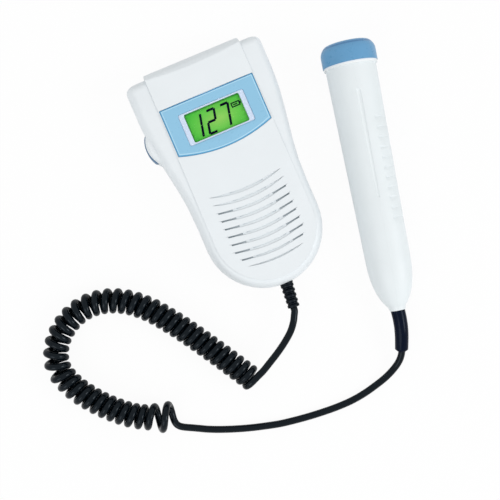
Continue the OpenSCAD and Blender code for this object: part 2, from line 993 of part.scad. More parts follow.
function route_point(i) = i < 0 ? 2 * curl_route[0] - curl_route[1]
    : i > curl_segments ? 2 * curl_route[curl_segments] - curl_route[curl_segments - 1]
    : curl_route[i];

function curve(t) =
    let (i = min(floor(t), curl_segments - 1), f = t - i, p = route_point(i - 1),
         q = route_point(i), r = route_point(i + 1), s = route_point(i + 2))
    0.5 * (2 * q + (r - p) * f + (2 * p - 5 * q + 4 * r - s) * f * f
           + (3 * q - p - 3 * r + s) * f * f * f);

function curve_way(t) = unit(curve(min(t + 0.01, curl_segments)) - curve(max(t - 0.01, 0)));
function inward(w) = [-w[1], w[0]];

// Curls are spaced evenly along the inner side of the bend
curve_steps = 8;
curve_ts = [for (k = [0:curl_segments * curve_steps]) k / curve_steps];
inner_side = [for (t = curve_ts) curve(t) + curl_r * inward(curve_way(t))];
inner_len = [for (k = 0, s = 0; k < len(inner_side);
    s = s + (k + 1 < len(inner_side) ? norm(inner_side[k + 1] - inner_side[k]) : 0), k = k + 1) s];
inner_table = [for (k = [0:len(curve_ts) - 1]) [inner_len[k], curve_ts[k]]];
inner_total = inner_len[len(inner_len) - 1];

curl_turns = curl_count + 0.5;
ring_count = curl_turns * curl_rings;
tight_turns = curl_turns - loose_turns;
tight_pitch = (inner_total - loose_turns * loose_pitch) / tight_turns;

function curl_along(turn) = min(turn, tight_turns) * tight_pitch
    + max(turn - tight_turns, 0) * loose_pitch;

function curl_radius(turn) = curl_r + loose_r * smooth((turn - tight_turns + 0.5) / 1.5);

// Middle of the cord at a turn, counted from the unit's end. It starts on top and ends below.
function curl_point(turn) =
    let (t = lookup(curl_along(turn), inner_table), c = curve(t), n = inward(curve_way(t)),
         r = curl_radius(turn), a = 360 * turn)
    [c[0] + r * sin(a) * n[0], c[1] + r * sin(a) * n[1], table_z + r + r * cos(a)];

function curl_out(turn) =
    let (t = lookup(curl_along(turn), inner_table), n = inward(curve_way(t)), a = 360 * turn)
    [sin(a) * n[0], sin(a) * n[1], cos(a)];

function curl_way(turn) = unit(curl_point(turn + 0.02) - curl_point(turn - 0.02));

function level(v) = unit([v[0], v[1], 0]);

first_way = level(curl_point(0.02) - curl_point(0));
curl_start = curl_point(0) - cord_d * first_way;
lead_way = level(probe_route[0] - [-80.7, -128.1, 0]);
curl_end = [-78.7, -129.2, table_z];

// The last curl opens into the lead along a curve on the table
last_point = curl_point(curl_turns);
last_way = level(curl_way(curl_turns));
opening = [for (f = [0.2:0.2:1])
    let (e = curl_end - cord_d * lead_way, reach = 0.55 * norm(e - last_point),
         b = last_point + reach * last_way, c = e - reach * lead_way, g = 1 - f)
    g * g * g * last_point + 3 * g * g * f * b + 3 * g * f * f * c + f * f * f * e];

curl_places = concat(
    [curl_start],
    [for (k = [0:ring_count]) curl_point(k / curl_rings)],
    opening,
    [curl_end]);
curl_ways = concat(
    [first_way, first_way],
    [for (k = [1:ring_count]) curl_way(k / curl_rings)],
    [for (i = [0:len(opening) - 2])
        level(opening[i + 1] - (i == 0 ? last_point : opening[i - 1]))],
    [lead_way, lead_way]);
curl_outs = concat(
    [[0, 0, 1]],
    [for (k = [0:ring_count]) curl_out(k / curl_rings)],
    [for (q = opening) [0, 0, -1]],
    [[0, 0, -1]]);

module cord_curls() {
    color("#10161e")
        tube(curl_places, curl_ways, curl_outs, [for (q = curl_places) cord_r], 6);
}

// Least gap of the row of curls to itself, between rings at least half a curl apart
least_gap = min([for (i = [0:len(curl_places) - 6])
    min([for (j = [i + 5:len(curl_places) - 1]) norm(curl_places[i] - curl_places[j])])]) - cord_d;
echo(least_gap_between_curls = least_gap, pitch = tight_pitch);

module cord_lead_unit() {
    color("#10161e")
        cord_tube(concat([relief_end, relief_end + 2 * relief_way], unit_route,
                         [curl_start - 4 * first_way, curl_start]),
                  relief_way, first_way);
}

module cord_lead_probe() {
    end = sleeve_route[len(sleeve_route) - 1];
    end_way = unit(sleeve_route[len(sleeve_route) - 2] - end);
    color("#10161e")
        cord_tube(concat([curl_end], probe_route, [end - 3 * end_way, end]), lead_way, end_way);
}

// ---------------------------------------------------------------- probe

module place_probe() {
    translate([probe_tail[0], probe_tail[1], tail_z])
        rotate([0, 0, -probe_yaw])
            rotate([-90 + probe_pitch, 0, 0])
                rotate([0, 0, probe_roll])
                    children();
}

// The barrel's profile: a quarter ellipse at the tail, then a slow widening to the collar
function barrel_profile(off) = concat(
    [[0, off], [tail_r - min(off, 0.5), off]],
    [for (a = [24:6:90])
        [(heel_r - off) * sin(a), off + (heel_at - off) * (1 - cos(a))]],
    [[barrel_r - off, collar_at - (off > 0 ? 2 : 0)]]);

module barrel() {
    rotate_extrude()
        difference() {
            polygon(concat(barrel_profile(0),
                           [[spigot_r, collar_at], [spigot_r, spigot_end], [0, spigot_end]]));
            polygon(concat(barrel_profile(wall),
                           [[spigot_r - wall, collar_at], [spigot_r - wall, spigot_end + 1],
                            [0, spigot_end + 1]]));
        }
}

// Radius of the barrel's slow widening
function barrel_at(z) = mix(heel_r, barrel_r, (z - heel_at) / (collar_at - heel_at));

// Long drop-shaped groove for the finger on top of the barrel, cut by a cone with a round head
module thumb_groove_cut() {
    reach = [for (i = [0, 1]) barrel_at(thumb_groove[i]) + thumb_groove_r[i] - thumb_depth[i]];
    length = thumb_groove[1] - thumb_groove[0];
    translate([0, -reach[0], thumb_groove[0]])
        rotate([atan((reach[1] - reach[0]) / length), 0, 0]) {
            cylinder(r1 = thumb_groove_r[0], r2 = thumb_groove_r[1], h = length);
            translate([0, 0, length])
                sphere(r = thumb_groove_r[1]);
        }
}

// Cross grooves under the fingers, on one side only. Each runs out towards the flank.
module grip_cut() {
    run_out = grip_side + grip_spread / 2;
    shift = (grip_depth[0] - grip_depth[1]) / (1 - cos(grip_spread));
    for (i = [0:grip_grooves - 1]) {
        at = grip_first + i * grip_pitch;
        r = barrel_at(at) - shift;
        translate(shift * [cos(run_out), sin(run_out)])
            rotate([0, 0, run_out - grip_spread])
                rotate_extrude(angle = grip_spread)
                    polygon([[r - grip_depth[1], at], [r + 0.8, at - 2], [r + 3, at - 2],
                             [r + 3, at + 1.4], [r + 0.8, at + 1.4]]);
    }
}

// Ribs that hold the probe's board between the two halves
module probe_ribs() {
    for (at = rib_places)
        difference() {
            translate([0, 0, at])
                cylinder(r = 13, h = 2);
            translate([0, 0, at - 1])
                cylinder(r = 6, h = 4);
            translate([-9.1, -0.9, at - 1])
                cube([18.2, 1.8, 4]);
        }
}

module probe_half(side) {
    difference() {
        union() {
            barrel();
            probe_ribs();
        }
        translate([side > 0 ? -50 : 0, -50, -10])
            cube([50, 100, 200]);
        translate([0, 0, -1])
            cylinder(r = relief_plug_r, h = 8);
        thumb_groove_cut();
        if (side > 0)
            grip_cut();
    }
}

module probe_shell_left() {
    color("#eaeff1")
        place_probe()
            probe_half(-1);
}

module probe_shell_right() {
    color("#e6ecef")
        place_probe()
            probe_half(1);
}

module probe_collar() {
    color("#f4f7f8")
        place_probe()
            translate([0, 0, collar_at])
                difference() {
                    cylinder(r = cap_r - 0.4, h = cap_at - collar_at);
                    translate([0, 0, -1])
                        cylinder(r = spigot_r, h = 4);
                }
}

// Cap with a wide soft bevel round its face
module probe_cap() {
    bend = probe_length - cap_bevel[1];
    fullness = 1.25;
    color("#649bc8")
        place_probe()
            rotate_extrude()
                polygon(concat(
                    [[spigot_r, cap_at], [cap_r, cap_at]],
                    [for (a = [0:15:90])
                        [cap_r - cap_bevel[0] * (1 - pow(cos(a), fullness)),
                         bend + cap_bevel[1] * pow(sin(a), fullness)]],
                    [[0, probe_length], [0, cap_bore_end], [cap_bore_r, cap_bore_end],
                     [cap_bore_r, spigot_end + 0.1], [spigot_r, spigot_end + 0.1]]));
}

module transducer_crystals() {
    color("#cfc8b4")
        place_probe()
            for (side = [-1, 1])
                intersection() {
                    translate([0, 0, cap_bore_end - 1])
                        cylinder(r = 11.4, h = 1);
                    translate([side > 0 ? 0.4 : -20.4, -20, 0])
                        cube([20, 40, 200]);
                }
}

module transducer_backing() {
    color("#3b4046")
        place_probe()
            translate([0, 0, backing_at])
                cylinder(r = 11.5, h = cap_bore_end - 1 - backing_at);
}

module probe_board() {
    color("#2f7a4d")
        place_probe() {
            translate([-9, -0.8, probe_board_at[0]])
                cube([18, 1.6, probe_board_at[1] - probe_board_at[0]]);
            for (at = [70, 84, 98])
                translate([-4, 0.7, at])
                    cube([8, 1.6, 6]);
        }
}

module probe_cable_clamp() {
    color("#d8d3c4")
        place_probe()
            translate([-6, -6.4, clamp_at[0]])
                cube([12, 12.8, clamp_at[1] - clamp_at[0]]);
}

module probe_strain_relief() {
    places = concat([[probe_tail[0], probe_tail[1], tail_z]], sleeve_route);
    n = len(places) - 1;
    color("#10161e") {
        place_probe()
            cylinder(r = relief_plug_r, h = clamp_at[0]);
        tube(places, route_ways(places, -probe_way, unit(places[n] - places[n - 1])),
             [for (q = places) [0, 0, 1]],
             [for (k = [0:n]) mix(sleeve_r, sleeve_end_r, k / n)], 10);
    }
}

front_shell();
back_shell();
battery_door();
display_bezel();
display_window();
lcd_frame();
lcd_glass();
lcd_digits();
lcd_backlight();
main_board();
board_components();
speaker_gasket();
speaker_frame();
speaker_cone();
speaker_magnet();
side_button();
button_switch();
switch_board();
battery_cells();
battery_springs();
battery_plates();
case_screws();
unit_strain_relief();
cord_lead_unit();
cord_curls();
cord_lead_probe();
probe_shell_left();
probe_shell_right();
probe_collar();
probe_cap();
transducer_crystals();
transducer_backing();
probe_board();
probe_cable_clamp();
probe_strain_relief();
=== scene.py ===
"""Looks of a fetal doppler monitor: a hand-held unit, its round probe and the curly cord.

Lengths are written in millimetres, as in the construction, and turned into metres by mm().
"""
import math

import bmesh
import bpy
from mathutils import Matrix, Vector
from mathutils.geometry import delaunay_2d_cdt


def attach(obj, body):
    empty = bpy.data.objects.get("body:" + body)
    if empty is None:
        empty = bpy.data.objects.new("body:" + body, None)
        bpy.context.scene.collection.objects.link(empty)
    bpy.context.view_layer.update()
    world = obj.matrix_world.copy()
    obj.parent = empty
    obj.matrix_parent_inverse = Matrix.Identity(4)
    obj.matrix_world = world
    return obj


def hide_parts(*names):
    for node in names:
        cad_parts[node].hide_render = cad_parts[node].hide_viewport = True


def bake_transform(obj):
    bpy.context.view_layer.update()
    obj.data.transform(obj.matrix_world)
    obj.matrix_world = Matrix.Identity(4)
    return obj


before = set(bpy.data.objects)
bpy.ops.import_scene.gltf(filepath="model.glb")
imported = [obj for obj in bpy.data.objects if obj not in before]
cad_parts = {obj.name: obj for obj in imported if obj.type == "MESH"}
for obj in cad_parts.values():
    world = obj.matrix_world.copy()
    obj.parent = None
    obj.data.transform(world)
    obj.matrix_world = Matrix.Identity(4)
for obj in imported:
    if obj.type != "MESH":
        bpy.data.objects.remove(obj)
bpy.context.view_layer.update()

MM = 0.001
UP = Vector((0, 0, 1))


def mm(*values):
    """Millimetres to a vector in metres."""
    return Vector(values) * MM


def mix(a, b, t):
    """The value at t from 0 to 1 between a and b."""
    return a + (b - a) * t


def smooth(t):
    """A soft step from 0 to 1."""
    t = max(0.0, min(1.0, t))
    return t * t * (3 - 2 * t)


# ---------------------------------------------------------------- camera

CAMERA_AT = (-42.6, -45.2, 566.0)
CAMERA_TARGET = (-10.6, -45.2, 0.0)
CAMERA_TURN = math.radians(-23.38)
CAMERA_LENS = 69.3
SENSOR_WIDTH = 36


def make_camera():
    """A camera almost straight above the table, turned to the photograph's frame."""
    data = bpy.data.cameras.new("camera")
    data.lens = CAMERA_LENS
    data.sensor_width = SENSOR_WIDTH
    data.clip_start = 0.01
    data.clip_end = 20
    camera = bpy.data.objects.new("camera", data)
    back = (Vector(CAMERA_AT) - Vector(CAMERA_TARGET)).normalized()
    up = Vector((-math.sin(CAMERA_TURN), math.cos(CAMERA_TURN), 0))
    right = up.cross(back).normalized()
    axes = Matrix((right, back.cross(right), back)).transposed()
    camera.matrix_world = Matrix.Translation(mm(*CAMERA_AT)) @ axes.to_4x4()
    bpy.context.scene.collection.objects.link(camera)
    bpy.context.scene.camera = camera


make_camera()


# ---------------------------------------------------------------- meshes

def new_object(name, mesh, body=None, replaces=()):
    """Links a mesh as a piece that rides on a body and stands for CAD nodes."""
    piece = bpy.data.objects.new(name, mesh)
    bpy.context.scene.collection.objects.link(piece)
    if body:
        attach(piece, body)
    if replaces:
        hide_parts(*replaces)
    return piece


def mesh_of(name, bm):
    """The finished mesh of a bmesh, with its faces turned outwards."""
    bmesh.ops.recalc_face_normals(bm, faces=bm.faces)
    mesh = bpy.data.meshes.new(name)
    bm.to_mesh(mesh)
    bm.free()
    return mesh


def ring_mesh(name, rings):
    """A smooth closed skin through rings of points with equal counts, with flat ends."""
    bm = bmesh.new()
    rows = [[bm.verts.new(p) for p in ring] for ring in rings]
    count = len(rings[0])
    for low, high in zip(rows, rows[1:]):
        for i in range(count):
            j = (i + 1) % count
            bm.faces.new((low[i], low[j], high[j], high[i])).smooth = True
    bm.faces.new(rows[0][::-1])
    bm.faces.new(rows[-1])
    return mesh_of(name, bm)


SPARE = 0.4


def inside(point, line):
    """Whether a point lies within a closed line."""
    odd = False
    for p, q in zip(line, line[1:] + line[:1]):
        if (p.y > point.y) != (q.y > point.y):
            if point.x < mix(p.x, q.x, (point.y - p.y) / (q.y - p.y)):
                odd = not odd
    return odd


def fill(bm, outer, hole, height, grid):
    """Faces between two loops of vertices, over inner points whose height is given.

    The inner points stand on a grid, and none is nearer to a loop than SPARE of its step.
    """
    loops = [[v.co.xy for v in loop] for loop in (outer, hole) if loop]
    verts = list(outer) + list(hole)
    links = []
    for start, loop in ((0, outer), (len(outer), hole)):
        links += [(start + i, start + (i + 1) % len(loop)) for i in range(len(loop))]

    def within(p):
        return inside(p, loops[0]) and not (hole and inside(p, loops[1]))

    places = [v.co.xy for v in verts]
    xs = [p.x for p in loops[0]]
    ys = [p.y for p in loops[0]]
    for i in range(1, int((max(xs) - min(xs)) / grid)):
        for k in range(1, int((max(ys) - min(ys)) / grid)):
            p = Vector((min(xs) + i * grid, min(ys) + k * grid))
            if within(p):
                near = min((p - q).length for loop in loops for q in loop)
                if near > SPARE * grid:
                    verts.append(bm.verts.new((p.x, p.y, height(p.x, p.y))))
                    places.append(p)
    spots, _, faces, sources, _, _ = delaunay_2d_cdt(places, links, [], 0, 1e-9)
    for face in faces:
        middle = sum((spots[i] for i in face), Vector((0, 0))) / len(face)
        if within(middle):
            bm.faces.new([verts[sources[i][0]] for i in face]).smooth = True


def plate_mesh(name, outline, hole, low, high, edge, hole_edge, grid, bands=()):
    """A plate with a hole between two heights, each a function of x and y.

    outline and hole give their lines moved inwards or outwards by a distance. edge and
    hole_edge hold pairs of that distance and the drop there, in mm, from the side to the top.
    bands holds the material of each strip of faces along the outline, from the side inwards.
    """
    bm = bmesh.new()

    def loop(points, height):
        return [bm.verts.new((p.x, p.y, height(p.x, p.y))) for p in points]

    def wall(a, b, band=0):
        for i in range(len(a)):
            j = (i + 1) % len(a)
            face = bm.faces.new((a[i], a[j], b[j], b[i]))
            face.smooth = True
            face.material_index = band

    def side(line, profile):
        rows = [loop(line(0), low)]
        for inset, drop in profile:
            rows.append(loop(line(inset), lambda x, y: high(x, y) - drop * MM))
        return rows

    outer = side(outline, edge)
    for k, (a, b) in enumerate(zip(outer, outer[1:])):
        wall(a, b, bands[k] if k < len(bands) else 0)
    if hole:
        inner = side(hole, hole_edge)
        for a, b in zip(inner, inner[1:]):
            wall(a, b)
    else:
        inner = [[]]
    fill(bm, outer[-1], inner[-1], high, grid)
    fill(bm, outer[0], inner[0], low, grid)
    return mesh_of(name, bm)


def rounded_box(size, radius, gap):
    """A rectangle round the display with round corners, moved outwards by gap."""
    points = []
    for k, (sx, sy) in enumerate(((1, 1), (-1, 1), (-1, -1), (1, -1))):
        x = sx * (size[0] / 2 - radius)
        y = DISPLAY_Y + sy * (size[1] / 2 - radius)
        r = radius + gap
        for i in range(CORNER_STEPS + 1):
            a = math.radians(90 * (k + i / CORNER_STEPS))
            points.append(mm(x + r * math.cos(a), y + r * math.sin(a)))
    return points


def tube_rings(places, outs, radii, sides):
    """Rings square to the way through places, each with a corner towards its out.

    Each radius is a pair: towards out and to the side.
    """
    rings = []
    for k, place in enumerate(places):
        way = (places[min(k + 1, len(places) - 1)] - places[max(k - 1, 0)]).normalized()
        side = way.cross(outs[k]).normalized()
        out = side.cross(way)
        rings.append([
            place + radii[k][0] * math.cos(a) * out + radii[k][1] * math.sin(a) * side
            for a in (math.tau * i / sides for i in range(sides))
        ])
    return rings


def between(p, q, r, s, f):
    """The place at f from 0 to 1 between q and r, on a smooth line through all four points."""
    return 0.5 * (2 * q + (r - p) * f + (2 * p - 5 * q + 4 * r - s) * f * f
                  + (3 * q - p - 3 * r + s) * f ** 3)


def spline(points, steps):
    """A smooth line through points, with steps places from each point to the next."""
    ends = [2 * points[0] - points[1]] + points + [2 * points[-1] - points[-2]]
    line = []
    for i in range(len(points) - 1):
        for k in range(steps):
            line.append(between(*ends[i:i + 4], k / steps))
    line.append(points[-1])
    return line


# ---------------------------------------------------------------- cord

CORD_D = 4.1
TABLE_Z = CORD_D / 2 + 0.02     # the middle of a cord that lies on the table
TIP_Y = -36.7 - 34.1 * math.cos(math.radians(8))    # the case's round end
EXIT_Z = 14
RELIEF_TILT = math.radians(6)
RELIEF_LEN = 14
RELIEF_WAY = Vector((-math.sin(RELIEF_TILT), -math.cos(RELIEF_TILT), 0))
CURL_COUNT = 42
CURL_R = 5.4
ROUTE_STEPS = 8
LOOSE_TURNS = 1.5       # the last turns, which stand further apart and are wider
LOOSE_PITCH = 8
LOOSE_R = 1.6
CURL_RINGS = 28
CORD_SIDES = 14
LEAD_STEPS = 5
OPENING_STEPS = 12
OPENING_REACH = 0.55

# The routes are those of the construction, in millimetres
CURL_ROUTE = [
    (-39.2, -114.9), (-47.5, -100.4), (-54.9, -87.8), (-61.8, -76.5), (-69.2, -65.3),
    (-78.5, -53.2), (-89.3, -43.9), (-101.6, -38.7), (-114.4, -38.4), (-126.2, -43.3),
    (-135.1, -52.2), (-138.9, -63.7), (-135.7, -76.1), (-128.5, -87.8), (-119.7, -98),
    (-109.9, -106.5), (-99.6, -112), (-90.3, -115.3),
]
UNIT_ROUTE = [
    (-2.8, -89.6, 13.8), (-4.9, -93.2, 13.5), (-8.4, -97.4, 13), (-13.5, -101.5, 12.6),
    (-19.7, -105.5, 12.4), (-26.1, -109, 12.4),
]
PROBE_ROUTE = [
    (-74.7, -131.4, 2.1), (-68.3, -134.4, 2.1), (-60.4, -137.6, 2.1), (-52, -140.6, 2.1),
    (-43.5, -143.2, 2.1), (-35, -145.5, 2.1), (-26.6, -147.1, 2.1), (-18.1, -148.4, 2.1),
    (-9.5, -149.4, 2.1), (-0.5, -150.1, 2.1), (8.5, -150.2, 2.1), (17.1, -149.4, 2.1),
    (25.2, -147.8, 2.2), (32.8, -145.7, 2.8), (39.3, -142.7, 4.1), (43.8, -139.4, 5.8),
]
SLEEVE_ROUTE = [
    (52.9, -115.7, 12.2), (51.7, -120.8, 11.7), (50.3, -125.4, 10.8), (48.8, -129.6, 9.5),
    (47.5, -133.2, 8.1),
]
CURL_END = (-78.7, -129.2)
LEAD_FROM = (-80.7, -128.1)     # the lead leaves the last curl along the line from here


def level(v):
    """The way of v along the table."""
    return Vector((v.x, v.y, 0)).normalized()


class CurlRow:
    """The row of curls along its route, worked out as in the construction."""

    def __init__(self):
        self.points = [Vector((x, y, 0)) for x, y in CURL_ROUTE]
        self.last = len(self.points) - 1
        self.ts = [k / ROUTE_STEPS for k in range(self.last * ROUTE_STEPS + 1)]
        inner = [self.curve(t) + CURL_R * self.inward(t) for t in self.ts]
        self.lengths = [0.0]
        for a, b in zip(inner, inner[1:]):
            self.lengths.append(self.lengths[-1] + (b - a).length)
        self.turns = CURL_COUNT + 0.5
        self.tight = self.turns - LOOSE_TURNS
        self.pitch = (self.lengths[-1] - LOOSE_TURNS * LOOSE_PITCH) / self.tight

    def point_at(self, i):
        """A point of the route, or one further along its line before or after it."""
        if i < 0:
            return 2 * self.points[0] - self.points[1]
        if i > self.last:
            return 2 * self.points[-1] - self.points[-2]
        return self.points[i]

    def curve(self, t):
        """The place on the route at t, which grows by 1 from each point to the next."""
        i = min(int(t), self.last - 1)
        return between(*(self.point_at(i + k) for k in (-1, 0, 1, 2)), t - i)

    def inward(self, t):
        """The way to the inner side of the route's bend, along the table."""
        way = self.curve(min(t + 0.01, self.last)) - self.curve(max(t - 0.01, 0))
        way.normalize()
        return Vector((-way.y, way.x, 0))

    def place_on_route(self, turn):
        """How far along the route a turn is: its curls lie evenly on the inner side."""
        along = min(turn, self.tight) * self.pitch + max(turn - self.tight, 0) * LOOSE_PITCH
        along = max(0.0, min(along, self.lengths[-1]))
        k = 0
        while k < len(self.lengths) - 2 and self.lengths[k + 1] < along:
            k += 1
        span = self.lengths[k + 1] - self.lengths[k]
        return mix(self.ts[k], self.ts[k + 1], (along - self.lengths[k]) / span)

    def point(self, turn):
        """The cord's middle at a turn, counted in whole curls from the start."""
        t = self.place_on_route(turn)
        r = CURL_R + LOOSE_R * smooth((turn - self.tight + 0.5) / 1.5)
        a = math.tau * turn
        place = self.curve(t) + r * math.sin(a) * self.inward(t)
        place.z = TABLE_Z + r + r * math.cos(a)
        return place

    def out(self, turn):
        """The way from the curls' axis to the cord at a turn."""
        a = math.tau * turn
        out = math.sin(a) * self.inward(self.place_on_route(turn))
        out.z = math.cos(a)
        return out


def cord_line():
    """Places along the whole cord, from the unit's relief to the probe's, and where each faces."""
    row = CurlRow()
    relief_end = Vector((0, TIP_Y - 1, EXIT_Z)) + RELIEF_LEN * RELIEF_WAY
    first_way = level(row.point(0.02) - row.point(0))
    curl_start = row.point(0) - CORD_D * first_way
    unit_lead = spline(
        [relief_end, relief_end + 2 * RELIEF_WAY] + [Vector(p) for p in UNIT_ROUTE]
        + [curl_start - 4 * first_way, curl_start], LEAD_STEPS)

    turns = [k / CURL_RINGS for k in range(int(row.turns * CURL_RINGS) + 1)]
    curls = [row.point(t) for t in turns]
    curl_outs = [row.out(t) for t in turns]

    # The last curl opens out into the lead by one smooth bend
    lead_way = level(Vector(PROBE_ROUTE[0]) - Vector((*LEAD_FROM, 0)))
    curl_end = Vector((*CURL_END, TABLE_Z))
    end = curl_end - CORD_D * lead_way
    last_way = level(curls[-1] - curls[-2])
    reach = OPENING_REACH * (end - curls[-1]).length
    b, c = curls[-1] + reach * last_way, end - reach * lead_way
    opening = []
    for k in range(1, OPENING_STEPS + 1):
        f = k / OPENING_STEPS
        g = 1 - f
        opening.append(g ** 3 * curls[-1] + 3 * g * g * f * b + 3 * g * f * f * c + f ** 3 * end)

    sleeve_end = Vector(SLEEVE_ROUTE[-1])
    sleeve_way = (Vector(SLEEVE_ROUTE[-2]) - sleeve_end).normalized()
    probe_lead = spline(
        [curl_end] + [Vector(p) for p in PROBE_ROUTE]
        + [sleeve_end - 3 * sleeve_way, sleeve_end], LEAD_STEPS)

    line = unit_lead + curls + opening + probe_lead
    outs = [UP] * len(unit_lead) + curl_outs + [-UP] * (len(opening) + len(probe_lead))
    return [p * MM for p in line], outs


def make_cord():
    """The cord from relief to relief, as one tube."""
    line, outs = cord_line()
    radii = [(CORD_D / 2 * MM,) * 2] * len(line)
    mesh = ring_mesh("curly_cord", tube_rings(line, outs, radii, CORD_SIDES))
    cord = new_object("curly_cord", mesh,
                      replaces=("cord_lead_unit", "cord_curls", "cord_lead_probe"))
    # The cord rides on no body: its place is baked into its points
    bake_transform(cord)
    return cord


RELIEF_X = 0.3          # the boot's middle at the case
RIBS_X = 0.25           # its middle where the ribs start
RIB_COUNT = 5
RIB_T = 1.9
RIB_R = (3.85, 3.5)     # at the case and at the cord
RIB_BEVEL = (0.25, 0.3)     # along the rib and across it
RIB_INSET = 0.1
WAIST_TOP_R = 2.5
WAIST_SIDE_DROP = 0.6
FLANGE_R = 2.9          # within the case's wall
SEAT_R = 3.95           # against the case's wall, outside
HIDDEN_R = 2.2          # the end's last ring, inside the step or the rib before it
BOOT_SIDES = 32

TAIL = (53.7, -111.1, 12.26)        # the sleeve's middle at the probe's tail
SLEEVE_R = (4.25, 3.85)
SLEEVE_STEPS = 4
SLEEVE_END = ((0.15, 3.7), (0.3, 3.4), (0.32, 2.75), (1.1, 2.7), (1.25, HIDDEN_R))
SLEEVE_SIDES = 28


def relief_mesh(name, places, radii, sides):
    """A tube round places and radii in mm, each radius a pair: up and to the side."""
    rings = tube_rings([p * MM for p in places], [UP] * len(places),
                       [(r * MM, s * MM) for r, s in radii], sides)
    return ring_mesh(name, rings)


def make_unit_relief():
    """The ribbed boot at the unit's round end: its gaps are deep on top, shallow at the sides."""
    pitch = (RELIEF_LEN - RIB_T) / (RIB_COUNT - 1)
    bend = Vector((RIBS_X, TIP_Y - 1, EXIT_Z))
    places, radii = [], []
    for y, r in ((2, FLANGE_R), (0.1, FLANGE_R), (0, SEAT_R), (-0.7, SEAT_R)):
        places.append(Vector((RELIEF_X, TIP_Y + y, EXIT_Z)))
        radii.append((r, r))

    def ring(along, up, side):
        places.append(bend + along * RELIEF_WAY)
        radii.append((up, side))

    bevel, drop = RIB_BEVEL
    for i in range(RIB_COUNT):
        start = i * pitch
        r = mix(*RIB_R, i / (RIB_COUNT - 1))
        ring(start + RIB_INSET, r - drop, r - drop)
        ring(start + RIB_INSET + bevel, r, r)
        ring(start + RIB_T - RIB_INSET - bevel, r, r)
        ring(start + RIB_T - RIB_INSET, r - drop, r - drop)
        if i < RIB_COUNT - 1:
            for share in (0.25, 0.75):
                ring(start + mix(RIB_T, pitch, share), WAIST_TOP_R, r - WAIST_SIDE_DROP)
    ring(RELIEF_LEN + RIB_INSET, HIDDEN_R, HIDDEN_R)
    return new_object("unit_relief", relief_mesh("unit_relief", places, radii, BOOT_SIDES),
                      "case", ["unit_strain_relief"])


def make_probe_relief():
    """The smooth bent sleeve at the probe's tail, with a short step round the cord."""
    tail = Vector(TAIL)
    route = [Vector(p) for p in SLEEVE_ROUTE]
    places = spline([tail + 0.5 * (tail - route[0]).normalized(), tail] + route, SLEEVE_STEPS)
    radii = [mix(*SLEEVE_R, k / (len(places) - 1)) for k in range(len(places))]
    way = (places[-1] - places[-2]).normalized()
    for along, r in SLEEVE_END:
        places.append(route[-1] + along * way)
        radii.append(r)
    mesh = relief_mesh("probe_relief", places, [(r, r) for r in radii], SLEEVE_SIDES)
    return new_object("probe_relief", mesh, "probe", ["probe_strain_relief"])


cord = make_cord()
reliefs = [make_unit_relief(), make_probe_relief()]


# ---------------------------------------------------------------- display

CASE_THICKNESS = 30
CROWN_DROP = 1.2
PLATEAU_HALF = 28.7
DISPLAY_Y = 30.2
BEZEL_HALF = 28.3
BEZEL_TOP = 45.8
BEZEL_LOW = 18.2
BEZEL_SAG = 5
BEZEL_PROUD = 0.4
BEZEL_BLUNT = 0.5
BEZEL_SINK = 1.15
BEZEL_STEPS = 24
WINDOW = (39.6, 18.8)
WINDOW_CORNER = 1.2
FIELD = (33.3, 16.8)
FIELD_CORNER = 1
CORNER_STEPS = 6
LIFT = 0.02         # keeps faces that lie on each other apart
GLASS_TOP = 27.6
WINDOW_PROUD = 0.2
WINDOW_T = 0.3


def crown(x, lift=0.0):
    """Height of the crowned front at x, in metres."""
    return (CASE_THICKNESS + lift - CROWN_DROP * (x / MM / PLATEAU_HALF) ** 2) * MM


def bezel_line(inset):
    """The bezel's outline with its curved lower edge and blunt corners, moved inwards."""
    half = BEZEL_HALF - inset
    top = BEZEL_TOP - inset
    low = BEZEL_LOW + inset
    blunt = max(BEZEL_BLUNT - 0.4 * inset, 0.1)
    line = []
    for i in range(-BEZEL_STEPS, BEZEL_STEPS + 1):
        x = (half - 0.4 * blunt) * i / BEZEL_STEPS
        line.append(mm(x, low - BEZEL_SAG * (1 - (x / half) ** 2)))
    for side in (1, -1):
        corner = [(half - blunt + blunt * math.cos(a), top - blunt + blunt * math.sin(a))
                  for a in (math.radians(22.5 * k) for k in range(5))]
        corner.insert(0, (half, low + 0.8 * blunt))
        line += [mm(side * x, y) for x, y in corner[::side]]
    return line


def make_bezel():
    """The blue bezel on the crowned front: a side painted darker as shade, a rounded rim painted
    paler as a highlight, and a flat field.
    """
    edge = [(0, 0.5), (0.3, 0.24), (0.7, 0.02), (0.95, -0.03), (1.25, -0.02), (1.5, 0)]
    hole_edge = [(0, 0.35), (0.1, 0.1), (0.35, 0)]
    mesh = plate_mesh(
        "bezel", bezel_line, lambda gap: rounded_box(WINDOW, WINDOW_CORNER, gap),
        lambda x, y: crown(x, -BEZEL_SINK), lambda x, y: crown(x, BEZEL_PROUD),
        edge, hole_edge, 2 * MM, bands=(1, 1, 1, 2, 2))
    return new_object("bezel", mesh, "case", ["display_bezel"])


def make_lcd_frame():
    """The pale frame whose lip fills the bezel's opening, round the lit field."""
    edge = [(0, 0.1), (0.06, 0.02), (0.15, 0), (0.2, 0)]
    hole_edge = [(0, 0.3), (0.06, 0.1), (0.2, 0.02), (0.3, 0), (0.35, 0)]
    mesh = plate_mesh(
        "display_frame", lambda inset: rounded_box(WINDOW, WINDOW_CORNER, -inset - 0.08),
        lambda gap: rounded_box(FIELD, FIELD_CORNER, gap),
        lambda x, y: (GLASS_TOP + LIFT) * MM,
        lambda x, y: crown(x, WINDOW_PROUD - WINDOW_T - LIFT), edge, hole_edge, 1.2 * MM)
    return new_object("display_frame", mesh, "case", ["lcd_frame"])


